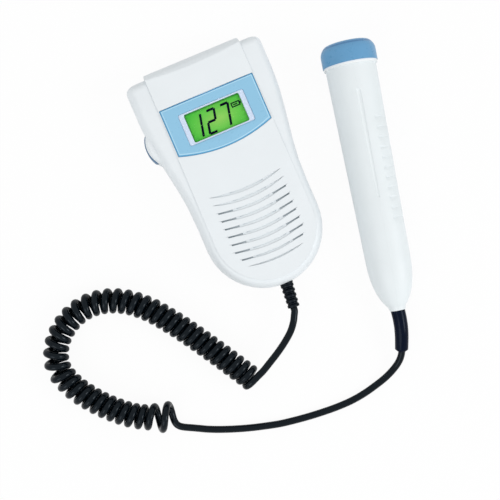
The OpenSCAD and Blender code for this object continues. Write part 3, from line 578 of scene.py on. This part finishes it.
def make_window():
    """The thin clear window, curved like the bezel round it."""
    mesh = plate_mesh(
        "window", lambda inset: rounded_box(WINDOW, WINDOW_CORNER, -inset - 0.06), None,
        lambda x, y: crown(x, WINDOW_PROUD - WINDOW_T), lambda x, y: crown(x, WINDOW_PROUD),
        [(0, 0.08), (0.03, 0.02), (0.1, 0)], None, 2 * MM)
    return new_object("window", mesh, "case", ["display_window"])


bezel = make_bezel()
lcd_frame = make_lcd_frame()
window = make_window()


# ---------------------------------------------------------------- grille

# The louvres are those of the construction, in millimetres
FIRST_LOUVRE_Y = -12.1
LOUVRE_PITCH = 4.75
SLOT_R = 122
SLOT_HEIGHT = 0.9
MIDDLE_HEIGHT = 0.5
MIDDLE_SLOT = 10
SIDE_SLOT = 12.2
SCOOP_DEPTH = 1.1
SCOOP_RUN = 4
ROW_HALVES = (20.6,) * 8 + (18.6, 15.5)
SIDE_ROWS = range(2, 9)
CLOTH_LAP = 0.08        # how far the cloth is let into a slot's walls
CLOTH_T = 0.25
CLOTH_STEP = 1.2
MIDDLE_DEPTH = 0.12
SIDE_DEPTH = 0.4


def cloth_strip(bm, y, x0, x1, height, depth):
    """A strip of dust cloth across one slot, depth below the scoop's floor."""
    steps = max(3, int((x1 - x0) / CLOTH_STEP))
    rows = []
    for k in range(steps + 1):
        x = mix(x0 - CLOTH_LAP, x1 + CLOTH_LAP, k / steps)
        arc = SLOT_R - math.sqrt(SLOT_R ** 2 - x ** 2)
        top = CASE_THICKNESS - SCOOP_DEPTH - arc * SCOOP_DEPTH / SCOOP_RUN - depth
        high = y + arc + SLOT_HEIGHT / 2 + CLOTH_LAP
        low = y + arc + SLOT_HEIGHT / 2 - height - CLOTH_LAP
        corners = ((low, top), (high, top), (high, top - CLOTH_T), (low, top - CLOTH_T))
        rows.append([bm.verts.new(mm(x, v, z)) for v, z in corners])
    for a, b in zip(rows, rows[1:]):
        for i in range(4):
            j = (i + 1) % 4
            bm.faces.new((a[i], b[i], b[j], a[j]))
    bm.faces.new(rows[0])
    bm.faces.new(rows[-1][::-1])


def make_grille_cloth():
    """Pale dust cloth behind the speaker's slots, caught between their walls."""
    bm = bmesh.new()
    for i, half in enumerate(ROW_HALVES):
        y = FIRST_LOUVRE_Y - i * LOUVRE_PITCH
        cloth_strip(bm, y, -MIDDLE_SLOT, MIDDLE_SLOT, MIDDLE_HEIGHT, MIDDLE_DEPTH)
        if i in SIDE_ROWS:
            cloth_strip(bm, y, SIDE_SLOT, half, SLOT_HEIGHT, SIDE_DEPTH)
            cloth_strip(bm, y, -half, -SIDE_SLOT, SLOT_HEIGHT, SIDE_DEPTH)
    return new_object("grille_cloth", mesh_of("grille_cloth", bm), "case")


grille_cloth = make_grille_cloth()


# ---------------------------------------------------------------- materials

def srgb(r, g, b):
    """A colour from 0 to 255 a channel, as seen, to the linear values that shaders take."""
    channels = []
    for v in (r, g, b):
        v /= 255
        channels.append(v / 12.92 if v <= 0.04045 else ((v + 0.055) / 1.055) ** 2.4)
    return (*channels, 1.0)


FULL_WHITE = (1, 1, 1, 1)
# The middle of the cap's flat face, and the way that it faces
PROBE_FACE = mm(86.8456, 42.2046, 16.3474)
PROBE_WAY = Vector((0.2112532, 0.9770846, 0.0260328))
# How far below the cap's face its ring of painted shade reaches
RIM_SHADE_SPAN = 3 * MM


class Shader:
    """A material's nodes, with the few links that the materials here share."""

    def __init__(self, name):
        self.material = bpy.data.materials.new(name)
        self.material.use_nodes = True
        self.tree = self.material.node_tree
        self.nodes = self.tree.nodes
        self.body = self.nodes["Principled BSDF"]
        self.place = self.nodes.new("ShaderNodeTexCoord").outputs["Object"]

    def link(self, a, b):
        self.tree.links.new(a, b)

    def noise(self, scale, detail=2.0, roughness=0.5):
        """A noise over the piece: scale is in spots a metre."""
        node = self.nodes.new("ShaderNodeTexNoise")
        node.inputs["Scale"].default_value = scale
        node.inputs["Detail"].default_value = detail
        node.inputs["Roughness"].default_value = roughness
        self.link(self.place, node.inputs["Vector"])
        return node.outputs["Fac"]

    def ramp(self, value, *stops):
        """Colours at places from 0 to 1 along a value."""
        node = self.nodes.new("ShaderNodeValToRGB")
        while len(node.color_ramp.elements) < len(stops):
            node.color_ramp.elements.new(0.5)
        for element, (place, colour) in zip(node.color_ramp.elements, stops):
            element.position = place
            element.color = colour
        self.link(value, node.inputs["Fac"])
        return node.outputs["Color"]

    def spread(self, value, low, high):
        """A value from 0.3 to 0.7 spread from low to high."""
        node = self.nodes.new("ShaderNodeMapRange")
        node.inputs["From Min"].default_value = 0.3
        node.inputs["From Max"].default_value = 0.7
        node.inputs["To Min"].default_value = low
        node.inputs["To Max"].default_value = high
        self.link(value, node.inputs["Value"])
        return node.outputs["Result"]

    def relief(self, height, distance, edge=0.0):
        """Bump from a height, over edges rounded by edge metres."""
        bump = self.nodes.new("ShaderNodeBump")
        bump.inputs["Distance"].default_value = distance
        bump.inputs["Strength"].default_value = 1.0
        self.link(height, bump.inputs["Height"])
        if edge:
            bevel = self.nodes.new("ShaderNodeBevel")
            bevel.samples = 6
            bevel.inputs["Radius"].default_value = edge
            self.link(bevel.outputs["Normal"], bump.inputs["Normal"])
        self.link(bump.outputs["Normal"], self.body.inputs["Normal"])

    def set(self, **values):
        """Numbers and colours on the shader's own sockets."""
        for name, value in values.items():
            self.body.inputs[name.replace("_", " ")].default_value = value


def scaled(colour, share):
    """A colour made darker or lighter by a share, but no lighter than white."""
    return (*(min(v * share, 1) for v in colour[:3]), 1)


FLOW_TINT = 0.012


def moulded(name, colour, roughness, grain=0.35, depth=0.012, edge=0.35, specular=0.5):
    """Moulded plastic: fine spark-eroded grain, faint flow marks and rounded edges, in mm."""
    shader = Shader(name)
    colour = srgb(*colour)
    colours = shader.ramp(shader.noise(60, 3), (0.3, scaled(colour, 1 - FLOW_TINT)),
                          (0.7, scaled(colour, 1 + FLOW_TINT)))
    shader.link(colours, shader.body.inputs["Base Color"])
    grain_height = shader.noise(1 / (grain * MM), 2, 0.6)
    shader.link(shader.spread(shader.noise(400, 2), roughness - 0.04, roughness + 0.04),
                shader.body.inputs["Roughness"])
    shader.relief(grain_height, depth * MM, edge * MM)
    shader.set(Specular_IOR_Level=specular)
    return shader.material


CLOTH_SHADE_REACH = 0.022     # how far from the middle, in metres, the cloth's ramp ends


def cloth():
    """Woven dust cloth, pale in the middle of the grille, with painted shade that makes it darker
    under the wider slots.
    """
    shader = Shader("dust_cloth")
    split = shader.nodes.new("ShaderNodeSeparateXYZ")
    shader.link(shader.place, split.inputs["Vector"])
    side = shader.nodes.new("ShaderNodeMath")
    side.operation = "ABSOLUTE"
    shader.link(split.outputs["X"], side.inputs[0])
    across = shader.nodes.new("ShaderNodeMapRange")
    across.inputs["From Max"].default_value = CLOTH_SHADE_REACH
    shader.link(side.outputs["Value"], across.inputs["Value"])
    # Painted shade: the cloth darkens away from the middle, where the slots are wider and deeper in
    # shade
    colours = shader.ramp(across.outputs["Result"], (0.3, srgb(234, 239, 241)),
                          (0.52, srgb(192, 200, 205)), (0.9, srgb(160, 170, 176)))
    shader.link(colours, shader.body.inputs["Base Color"])
    weave = shader.nodes.new("ShaderNodeTexVoronoi")
    weave.inputs["Scale"].default_value = 3500
    shader.link(shader.place, weave.inputs["Vector"])
    shader.relief(weave.outputs["Distance"], 0.05 * MM)
    shader.set(Roughness=0.9)
    return shader.material


def cap_plastic():
    """Blue cap with a ring of painted shade where its side bends into its face."""
    shader = Shader("cap_blue")
    colours = shader.ramp(shader.noise(60, 3), (0.3, srgb(92, 151, 193)), (0.7, srgb(98, 157, 200)))
    along = shader.nodes.new("ShaderNodeVectorMath")
    along.operation = "DOT_PRODUCT"
    along.inputs[1].default_value = PROBE_WAY
    shader.link(shader.place, along.inputs[0])
    face = PROBE_FACE.dot(PROBE_WAY)
    near_face = shader.nodes.new("ShaderNodeMapRange")
    near_face.inputs["From Min"].default_value = face - RIM_SHADE_SPAN
    near_face.inputs["From Max"].default_value = face
    shader.link(along.outputs["Value"], near_face.inputs["Value"])
    # Painted shade along the bend from the cap's side into its face, not a seam
    shade_tone = (0.5, 0.6, 0.74, 1)
    rim_shade = shader.ramp(near_face.outputs["Result"], (0.2, FULL_WHITE), (0.35, shade_tone), (0.52, shade_tone),
                       (0.64, FULL_WHITE))
    times = shader.nodes.new("ShaderNodeMix")
    times.data_type = "RGBA"
    times.blend_type = "MULTIPLY"
    times.inputs["Factor"].default_value = 1
    shader.link(colours, times.inputs[6])
    shader.link(rim_shade, times.inputs[7])
    shader.link(times.outputs[2], shader.body.inputs["Base Color"])
    shader.link(shader.spread(shader.noise(400, 2), 0.26, 0.34), shader.body.inputs["Roughness"])
    shader.relief(shader.noise(2800, 2, 0.6), 0.005 * MM)
    return shader.material


def rubbery(name, colour, roughness, specular):
    """Black cord jacket: soft sheen, fine drag lines and a little dust."""
    shader = Shader(name)
    colour = srgb(*colour)
    dust = shader.noise(900, 4, 0.7)
    shader.link(shader.ramp(dust, (0.45, colour), (0.8, scaled(colour, 1.8))),
                shader.body.inputs["Base Color"])
    shader.link(shader.spread(shader.noise(300, 3), roughness - 0.06, roughness + 0.06),
                shader.body.inputs["Roughness"])
    shader.relief(shader.noise(2500, 2), 0.008 * MM)
    shader.set(Specular_IOR_Level=specular, Specular_Tint=(0.78, 0.9, 1, 1))
    return shader.material


def lcd_green():
    """Backlit green field, paler in the middle and shaded along its upper and left edges."""
    shader = Shader("lcd_green")

    def span(low, high):
        """Places from -1 to 1 between two corners, in mm, whatever the depth."""
        node = shader.nodes.new("ShaderNodeMapping")
        scale = Vector((2 / (high[0] - low[0]), 2 / (high[1] - low[1]), 0)) / MM
        middle = mm(low[0] + high[0], low[1] + high[1]) / 2
        node.inputs["Scale"].default_value = scale
        node.inputs["Location"].default_value = (-middle.x * scale.x, -middle.y * scale.y, 0)
        shader.link(shader.place, node.inputs["Vector"])
        return node.outputs["Vector"]

    def length(vector):
        node = shader.nodes.new("ShaderNodeVectorMath")
        node.operation = "LENGTH"
        shader.link(vector, node.inputs[0])
        return node.outputs["Value"]

    left, right = -FIELD[0] / 2, FIELD[0] / 2
    low, high = DISPLAY_Y - FIELD[1] / 2, DISPLAY_Y + FIELD[1] / 2
    glow = shader.ramp(
        length(span((left - 3, low - 4), (right + 6, high + 3))),
        (0.0, srgb(138, 198, 90)),
        (0.5, srgb(100, 192, 72)),
        (1.0, srgb(62, 180, 54)))

    # The frame's rim shades the field: most along its upper and left edges
    split = shader.nodes.new("ShaderNodeSeparateXYZ")
    shader.link(span((left, low), (right, high)), split.inputs["Vector"])
    shade = None
    for axis, edge, soft in (("X", -1.0, 0.07), ("X", 1.0, -0.03), ("Y", 1.0, -0.16),
                             ("Y", -1.0, 0.05)):
        node = shader.nodes.new("ShaderNodeMapRange")
        node.interpolation_type = "SMOOTHSTEP"
        node.inputs["From Min"].default_value = edge
        node.inputs["From Max"].default_value = edge + soft
        node.inputs["To Min"].default_value = 0.3
        shader.link(split.outputs[axis], node.inputs["Value"])
        if shade is None:
            shade = node.outputs["Result"]
        else:
            times = shader.nodes.new("ShaderNodeMath")
            times.operation = "MULTIPLY"
            shader.link(shade, times.inputs[0])
            shader.link(node.outputs["Result"], times.inputs[1])
            shade = times.outputs["Value"]
    blend = shader.nodes.new("ShaderNodeMix")
    blend.data_type = "RGBA"
    shader.link(shade, blend.inputs["Factor"])
    blend.inputs["A"].default_value = srgb(22, 96, 30)
    shader.link(glow, blend.inputs["B"])
    colours = blend.outputs["Result"]
    shader.link(colours, shader.body.inputs["Base Color"])
    shader.link(colours, shader.body.inputs["Emission Color"])
    shader.set(Emission_Strength=0.06, Roughness=0.35, Specular_IOR_Level=0.2)
    shader.relief(shader.noise(3000, 2), 0.003 * MM)
    return shader.material


def clear_plastic():
    """Thin clear window with a few faint scratches."""
    shader = Shader("clear_window")
    shader.set(Base_Color=FULL_WHITE, Transmission_Weight=1.0, IOR=1.1, Alpha=0.06)
    shader.link(shader.spread(shader.noise(700, 5, 0.7), 0.02, 0.08),
                shader.body.inputs["Roughness"])
    return shader.material


def metal(name, colour, roughness):
    """Drawn or stamped metal with a fine uneven sheen."""
    shader = Shader(name)
    colour = srgb(*colour)
    brushed = shader.noise(1500, 3)
    shader.link(shader.ramp(brushed, (0.3, scaled(colour, 0.85)), (0.7, colour)),
                shader.body.inputs["Base Color"])
    shader.link(shader.spread(brushed, roughness - 0.05, roughness + 0.08),
                shader.body.inputs["Roughness"])
    shader.relief(brushed, 0.004 * MM)
    shader.set(Metallic=1.0)
    return shader.material


def circuit_board():
    """Green solder mask with paler copper under it in places."""
    shader = Shader("circuit_board")
    mask = shader.noise(500, 2)
    shader.link(shader.ramp(mask, (0.46, srgb(34, 104, 66)), (0.5, srgb(48, 128, 84))),
                shader.body.inputs["Base Color"])
    shader.relief(mask, 0.02 * MM)
    shader.set(Roughness=0.4)
    return shader.material


WHITE = moulded("case_white", (233, 238, 241), 0.38)
BACK_WHITE = moulded("back_white", (228, 233, 236), 0.5, grain=0.5, depth=0.03)
BARREL_WHITE = moulded("barrel_white", (231, 237, 239), 0.44, edge=0.1)
COLLAR_WHITE = moulded("collar_white", (246, 248, 249), 0.3)
BEZEL_BLUE = moulded("bezel_blue", (143, 196, 226), 0.3, depth=0.006, edge=0)
# A darker and a paler copy of the bezel's blue: painted shade along its side and a painted
# highlight along its rim
BEZEL_PAINTED_SHADE = moulded("bezel_edge_painted_shade", (84, 158, 202), 0.32, depth=0.006, edge=0)
BEZEL_PAINTED_HIGHLIGHT = moulded("bezel_rim_painted_highlight", (176, 219, 241), 0.32, depth=0.006, edge=0)
BUTTON_BLUE = moulded("button_blue", (84, 122, 158), 0.4)
FRAME_PALE = moulded("frame_pale", (206, 220, 240), 0.45)
INK = moulded("lcd_ink", (12, 14, 34), 0.4, edge=0, specular=0.0)
DIFFUSER = moulded("diffuser", (240, 244, 238), 0.6)
CHIP_BLACK = moulded("chip_black", (34, 36, 40), 0.5, edge=0.1)
CONE_PAPER = moulded("cone_paper", (196, 202, 206), 0.7, depth=0.05)
FOAM = moulded("foam", (206, 212, 215), 0.85, grain=0.6, depth=0.1)
CERAMIC = moulded("ceramic", (206, 198, 178), 0.4)
RESIN = moulded("resin", (58, 62, 68), 0.45)
NYLON = moulded("nylon", (216, 210, 196), 0.5)
CORD_BLACK = rubbery("cord_black", (2, 8, 14), 0.15, 0.18)
RELIEF_BLACK = rubbery("relief_black", (3, 8, 16), 0.24, 0.16)
SLEEVE_BLACK = rubbery("sleeve_black", (1, 8, 28), 0.18, 0.1)
STEEL = metal("steel", (170, 173, 176), 0.3)
GOLD_METAL = metal("contact_metal", (214, 190, 128), 0.28)
CELL_METAL = metal("cell_metal", (196, 199, 203), 0.25)

# The CAD nodes that stay in view, and their materials
LOOKS = {
    "front_shell": WHITE, "back_shell": BACK_WHITE, "battery_door": BACK_WHITE,
    "lcd_glass": lcd_green(), "lcd_digits": INK, "lcd_backlight": DIFFUSER,
    "main_board": circuit_board(), "board_components": CHIP_BLACK, "speaker_gasket": FOAM,
    "speaker_frame": NYLON, "speaker_cone": CONE_PAPER, "speaker_magnet": STEEL,
    "side_button": BUTTON_BLUE, "button_switch": STEEL, "switch_board": circuit_board(),
    "battery_cells": CELL_METAL, "battery_springs": GOLD_METAL, "battery_plates": GOLD_METAL,
    "case_screws": STEEL,
    "probe_shell_left": BARREL_WHITE, "probe_shell_right": BARREL_WHITE,
    "probe_collar": COLLAR_WHITE, "probe_cap": cap_plastic(), "transducer_crystals": CERAMIC,
    "transducer_backing": RESIN, "probe_board": circuit_board(), "probe_cable_clamp": NYLON,
}


JOIN_WITHIN = 0.002 * MM
SHARP_ANGLE = math.radians(28)


def smooth_by_angle():
    """A node group that joins a solid's facets and shades them smooth, up to an angle."""
    group = bpy.data.node_groups.new("smooth_by_angle", "GeometryNodeTree")
    group.interface.new_socket("Geometry", in_out="INPUT", socket_type="NodeSocketGeometry")
    group.interface.new_socket("Geometry", in_out="OUTPUT", socket_type="NodeSocketGeometry")
    start = group.nodes.new("NodeGroupInput")
    end = group.nodes.new("NodeGroupOutput")
    # The imported normals would keep every facet flat
    bare = group.nodes.new("GeometryNodeRemoveAttribute")
    bare.inputs["Name"].default_value = "custom_normal"
    merge = group.nodes.new("GeometryNodeMergeByDistance")
    merge.inputs["Distance"].default_value = JOIN_WITHIN
    faces = group.nodes.new("GeometryNodeSetShadeSmooth")
    faces.domain = "FACE"
    angle = group.nodes.new("GeometryNodeInputMeshEdgeAngle")
    sharp = group.nodes.new("FunctionNodeCompare")
    sharp.data_type = "FLOAT"
    sharp.operation = "GREATER_THAN"
    sharp.inputs["B"].default_value = SHARP_ANGLE
    edges = group.nodes.new("GeometryNodeSetShadeSmooth")
    edges.domain = "EDGE"
    edges.inputs["Shade Smooth"].default_value = False
    link = group.links.new
    link(start.outputs[0], bare.inputs["Geometry"])
    link(bare.outputs["Geometry"], merge.inputs["Geometry"])
    link(merge.outputs["Geometry"], faces.inputs["Geometry"])
    link(faces.outputs["Geometry"], edges.inputs["Geometry"])
    link(angle.outputs["Unsigned Angle"], sharp.inputs["A"])
    link(sharp.outputs["Result"], edges.inputs["Selection"])
    link(edges.outputs["Geometry"], end.inputs[0])
    return group


def dress_nodes():
    """Gives each CAD node in view its material and smooth shading, and leaves its mesh alone."""
    group = smooth_by_angle()
    for name, look in LOOKS.items():
        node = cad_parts[name]
        node.data.materials.clear()
        node.data.materials.append(look)
        node.modifiers.new("smooth_by_angle", "NODES").node_group = group


dress_nodes()
cord.data.materials.append(CORD_BLACK)
for relief, look in zip(reliefs, (RELIEF_BLACK, SLEEVE_BLACK)):
    relief.data.materials.append(look)
for look in (BEZEL_BLUE, BEZEL_PAINTED_SHADE, BEZEL_PAINTED_HIGHLIGHT):
    bezel.data.materials.append(look)
window.data.materials.append(clear_plastic())
grille_cloth.data.materials.append(cloth())
lcd_frame.data.materials.append(FRAME_PALE)


# ---------------------------------------------------------------- stage and light

FLOOR_HALF = 40.0       # metres, so far that its edge hardly shows in the low views
FLOOR_Z = -0.0002
FLOOR_GLOW = 0.94       # the rest of what the camera sees of the floor is its shadows
WORLD_STRENGTH = 0.72
HORIZON = (0.48, 0.68, 0.75, 1)
LAMP_TARGET = Vector((-0.01, -0.04, 0))


def make_floor():
    """A white table that keeps the object's soft shadow."""
    bm = bmesh.new()
    corners = [bm.verts.new((x * FLOOR_HALF, y * FLOOR_HALF, FLOOR_Z))
               for x, y in ((-1, -1), (1, -1), (1, 1), (-1, 1))]
    bm.faces.new(corners)
    mesh = bpy.data.meshes.new("floor")
    bm.to_mesh(mesh)
    bm.free()
    floor = new_object("floor", mesh)
    material = bpy.data.materials.new("floor_white")
    material.use_nodes = True
    tree = material.node_tree
    body = tree.nodes["Principled BSDF"]
    body.inputs["Base Color"].default_value = (0.9, 0.9, 0.9, 1)
    body.inputs["Roughness"].default_value = 0.9
    body.inputs["Specular IOR Level"].default_value = 0.0
    glow = tree.nodes.new("ShaderNodeEmission")
    path = tree.nodes.new("ShaderNodeLightPath")
    share = tree.nodes.new("ShaderNodeMath")
    share.operation = "MULTIPLY"
    share.inputs[1].default_value = FLOOR_GLOW
    mixer = tree.nodes.new("ShaderNodeMixShader")
    tree.links.new(path.outputs["Is Camera Ray"], share.inputs[0])
    tree.links.new(share.outputs["Value"], mixer.inputs["Fac"])
    tree.links.new(body.outputs["BSDF"], mixer.inputs[1])
    tree.links.new(glow.outputs["Emission"], mixer.inputs[2])
    output = tree.nodes["Material Output"]
    tree.links.new(mixer.outputs["Shader"], output.inputs["Surface"])
    mesh.materials.append(material)


def make_world():
    """Soft light with a darker, bluer horizon, which the camera and reflections see as white."""
    world = bpy.data.worlds.new("studio")
    world.use_nodes = True
    bpy.context.scene.world = world
    tree = world.node_tree
    tree.nodes.clear()
    light = tree.nodes.new("ShaderNodeBackground")
    light.inputs["Strength"].default_value = WORLD_STRENGTH
    way = tree.nodes.new("ShaderNodeTexCoord")
    split = tree.nodes.new("ShaderNodeSeparateXYZ")
    # Heights from -1 to 1 become places from 0 to 1 on the ramp
    height = tree.nodes.new("ShaderNodeMath")
    height.operation = "MULTIPLY_ADD"
    height.inputs[1].default_value = 0.5
    height.inputs[2].default_value = 0.5
    sky = tree.nodes.new("ShaderNodeValToRGB")
    sky.color_ramp.elements.new(0.5)
    for element, place, colour in zip(sky.color_ramp.elements, (0.4, 0.5, 0.65),
                                      (FULL_WHITE, HORIZON, FULL_WHITE)):
        element.position = place
        element.color = colour
    seen = tree.nodes.new("ShaderNodeBackground")
    seen.inputs["Color"].default_value = FULL_WHITE
    seen.inputs["Strength"].default_value = 1.0
    path = tree.nodes.new("ShaderNodeLightPath")
    glossy = tree.nodes.new("ShaderNodeMath")
    glossy.operation = "MAXIMUM"
    any_ray = tree.nodes.new("ShaderNodeMath")
    any_ray.operation = "MAXIMUM"
    mixer = tree.nodes.new("ShaderNodeMixShader")
    output = tree.nodes.new("ShaderNodeOutputWorld")
    link = tree.links.new
    link(way.outputs["Generated"], split.inputs["Vector"])
    link(split.outputs["Z"], height.inputs[0])
    link(height.outputs["Value"], sky.inputs["Fac"])
    link(sky.outputs["Color"], light.inputs["Color"])
    link(path.outputs["Is Glossy Ray"], glossy.inputs[0])
    link(path.outputs["Is Transmission Ray"], glossy.inputs[1])
    link(path.outputs["Is Camera Ray"], any_ray.inputs[0])
    link(glossy.outputs["Value"], any_ray.inputs[1])
    link(any_ray.outputs["Value"], mixer.inputs["Fac"])
    link(light.outputs["Background"], mixer.inputs[1])
    link(seen.outputs["Background"], mixer.inputs[2])
    link(mixer.outputs["Shader"], output.inputs["Surface"])


def make_lamp(name, at, size, power):
    """A square soft lamp in metres and watts that looks at the object's middle."""
    data = bpy.data.lights.new(name, "AREA")
    data.shape = "SQUARE"
    data.size = size
    data.energy = power
    lamp = bpy.data.objects.new(name, data)
    lamp.location = at
    lamp.rotation_euler = (LAMP_TARGET - Vector(at)).to_track_quat("-Z", "Y").to_euler()
    bpy.context.scene.collection.objects.link(lamp)


make_floor()
make_world()
make_lamp("key", (1.5, -1.0, 1.5), 0.9, 14.5)
make_lamp("fill", (-1.4, -0.8, 1.5), 1.2, 10.0)

bpy.context.scene.view_settings.view_transform = "Standard"
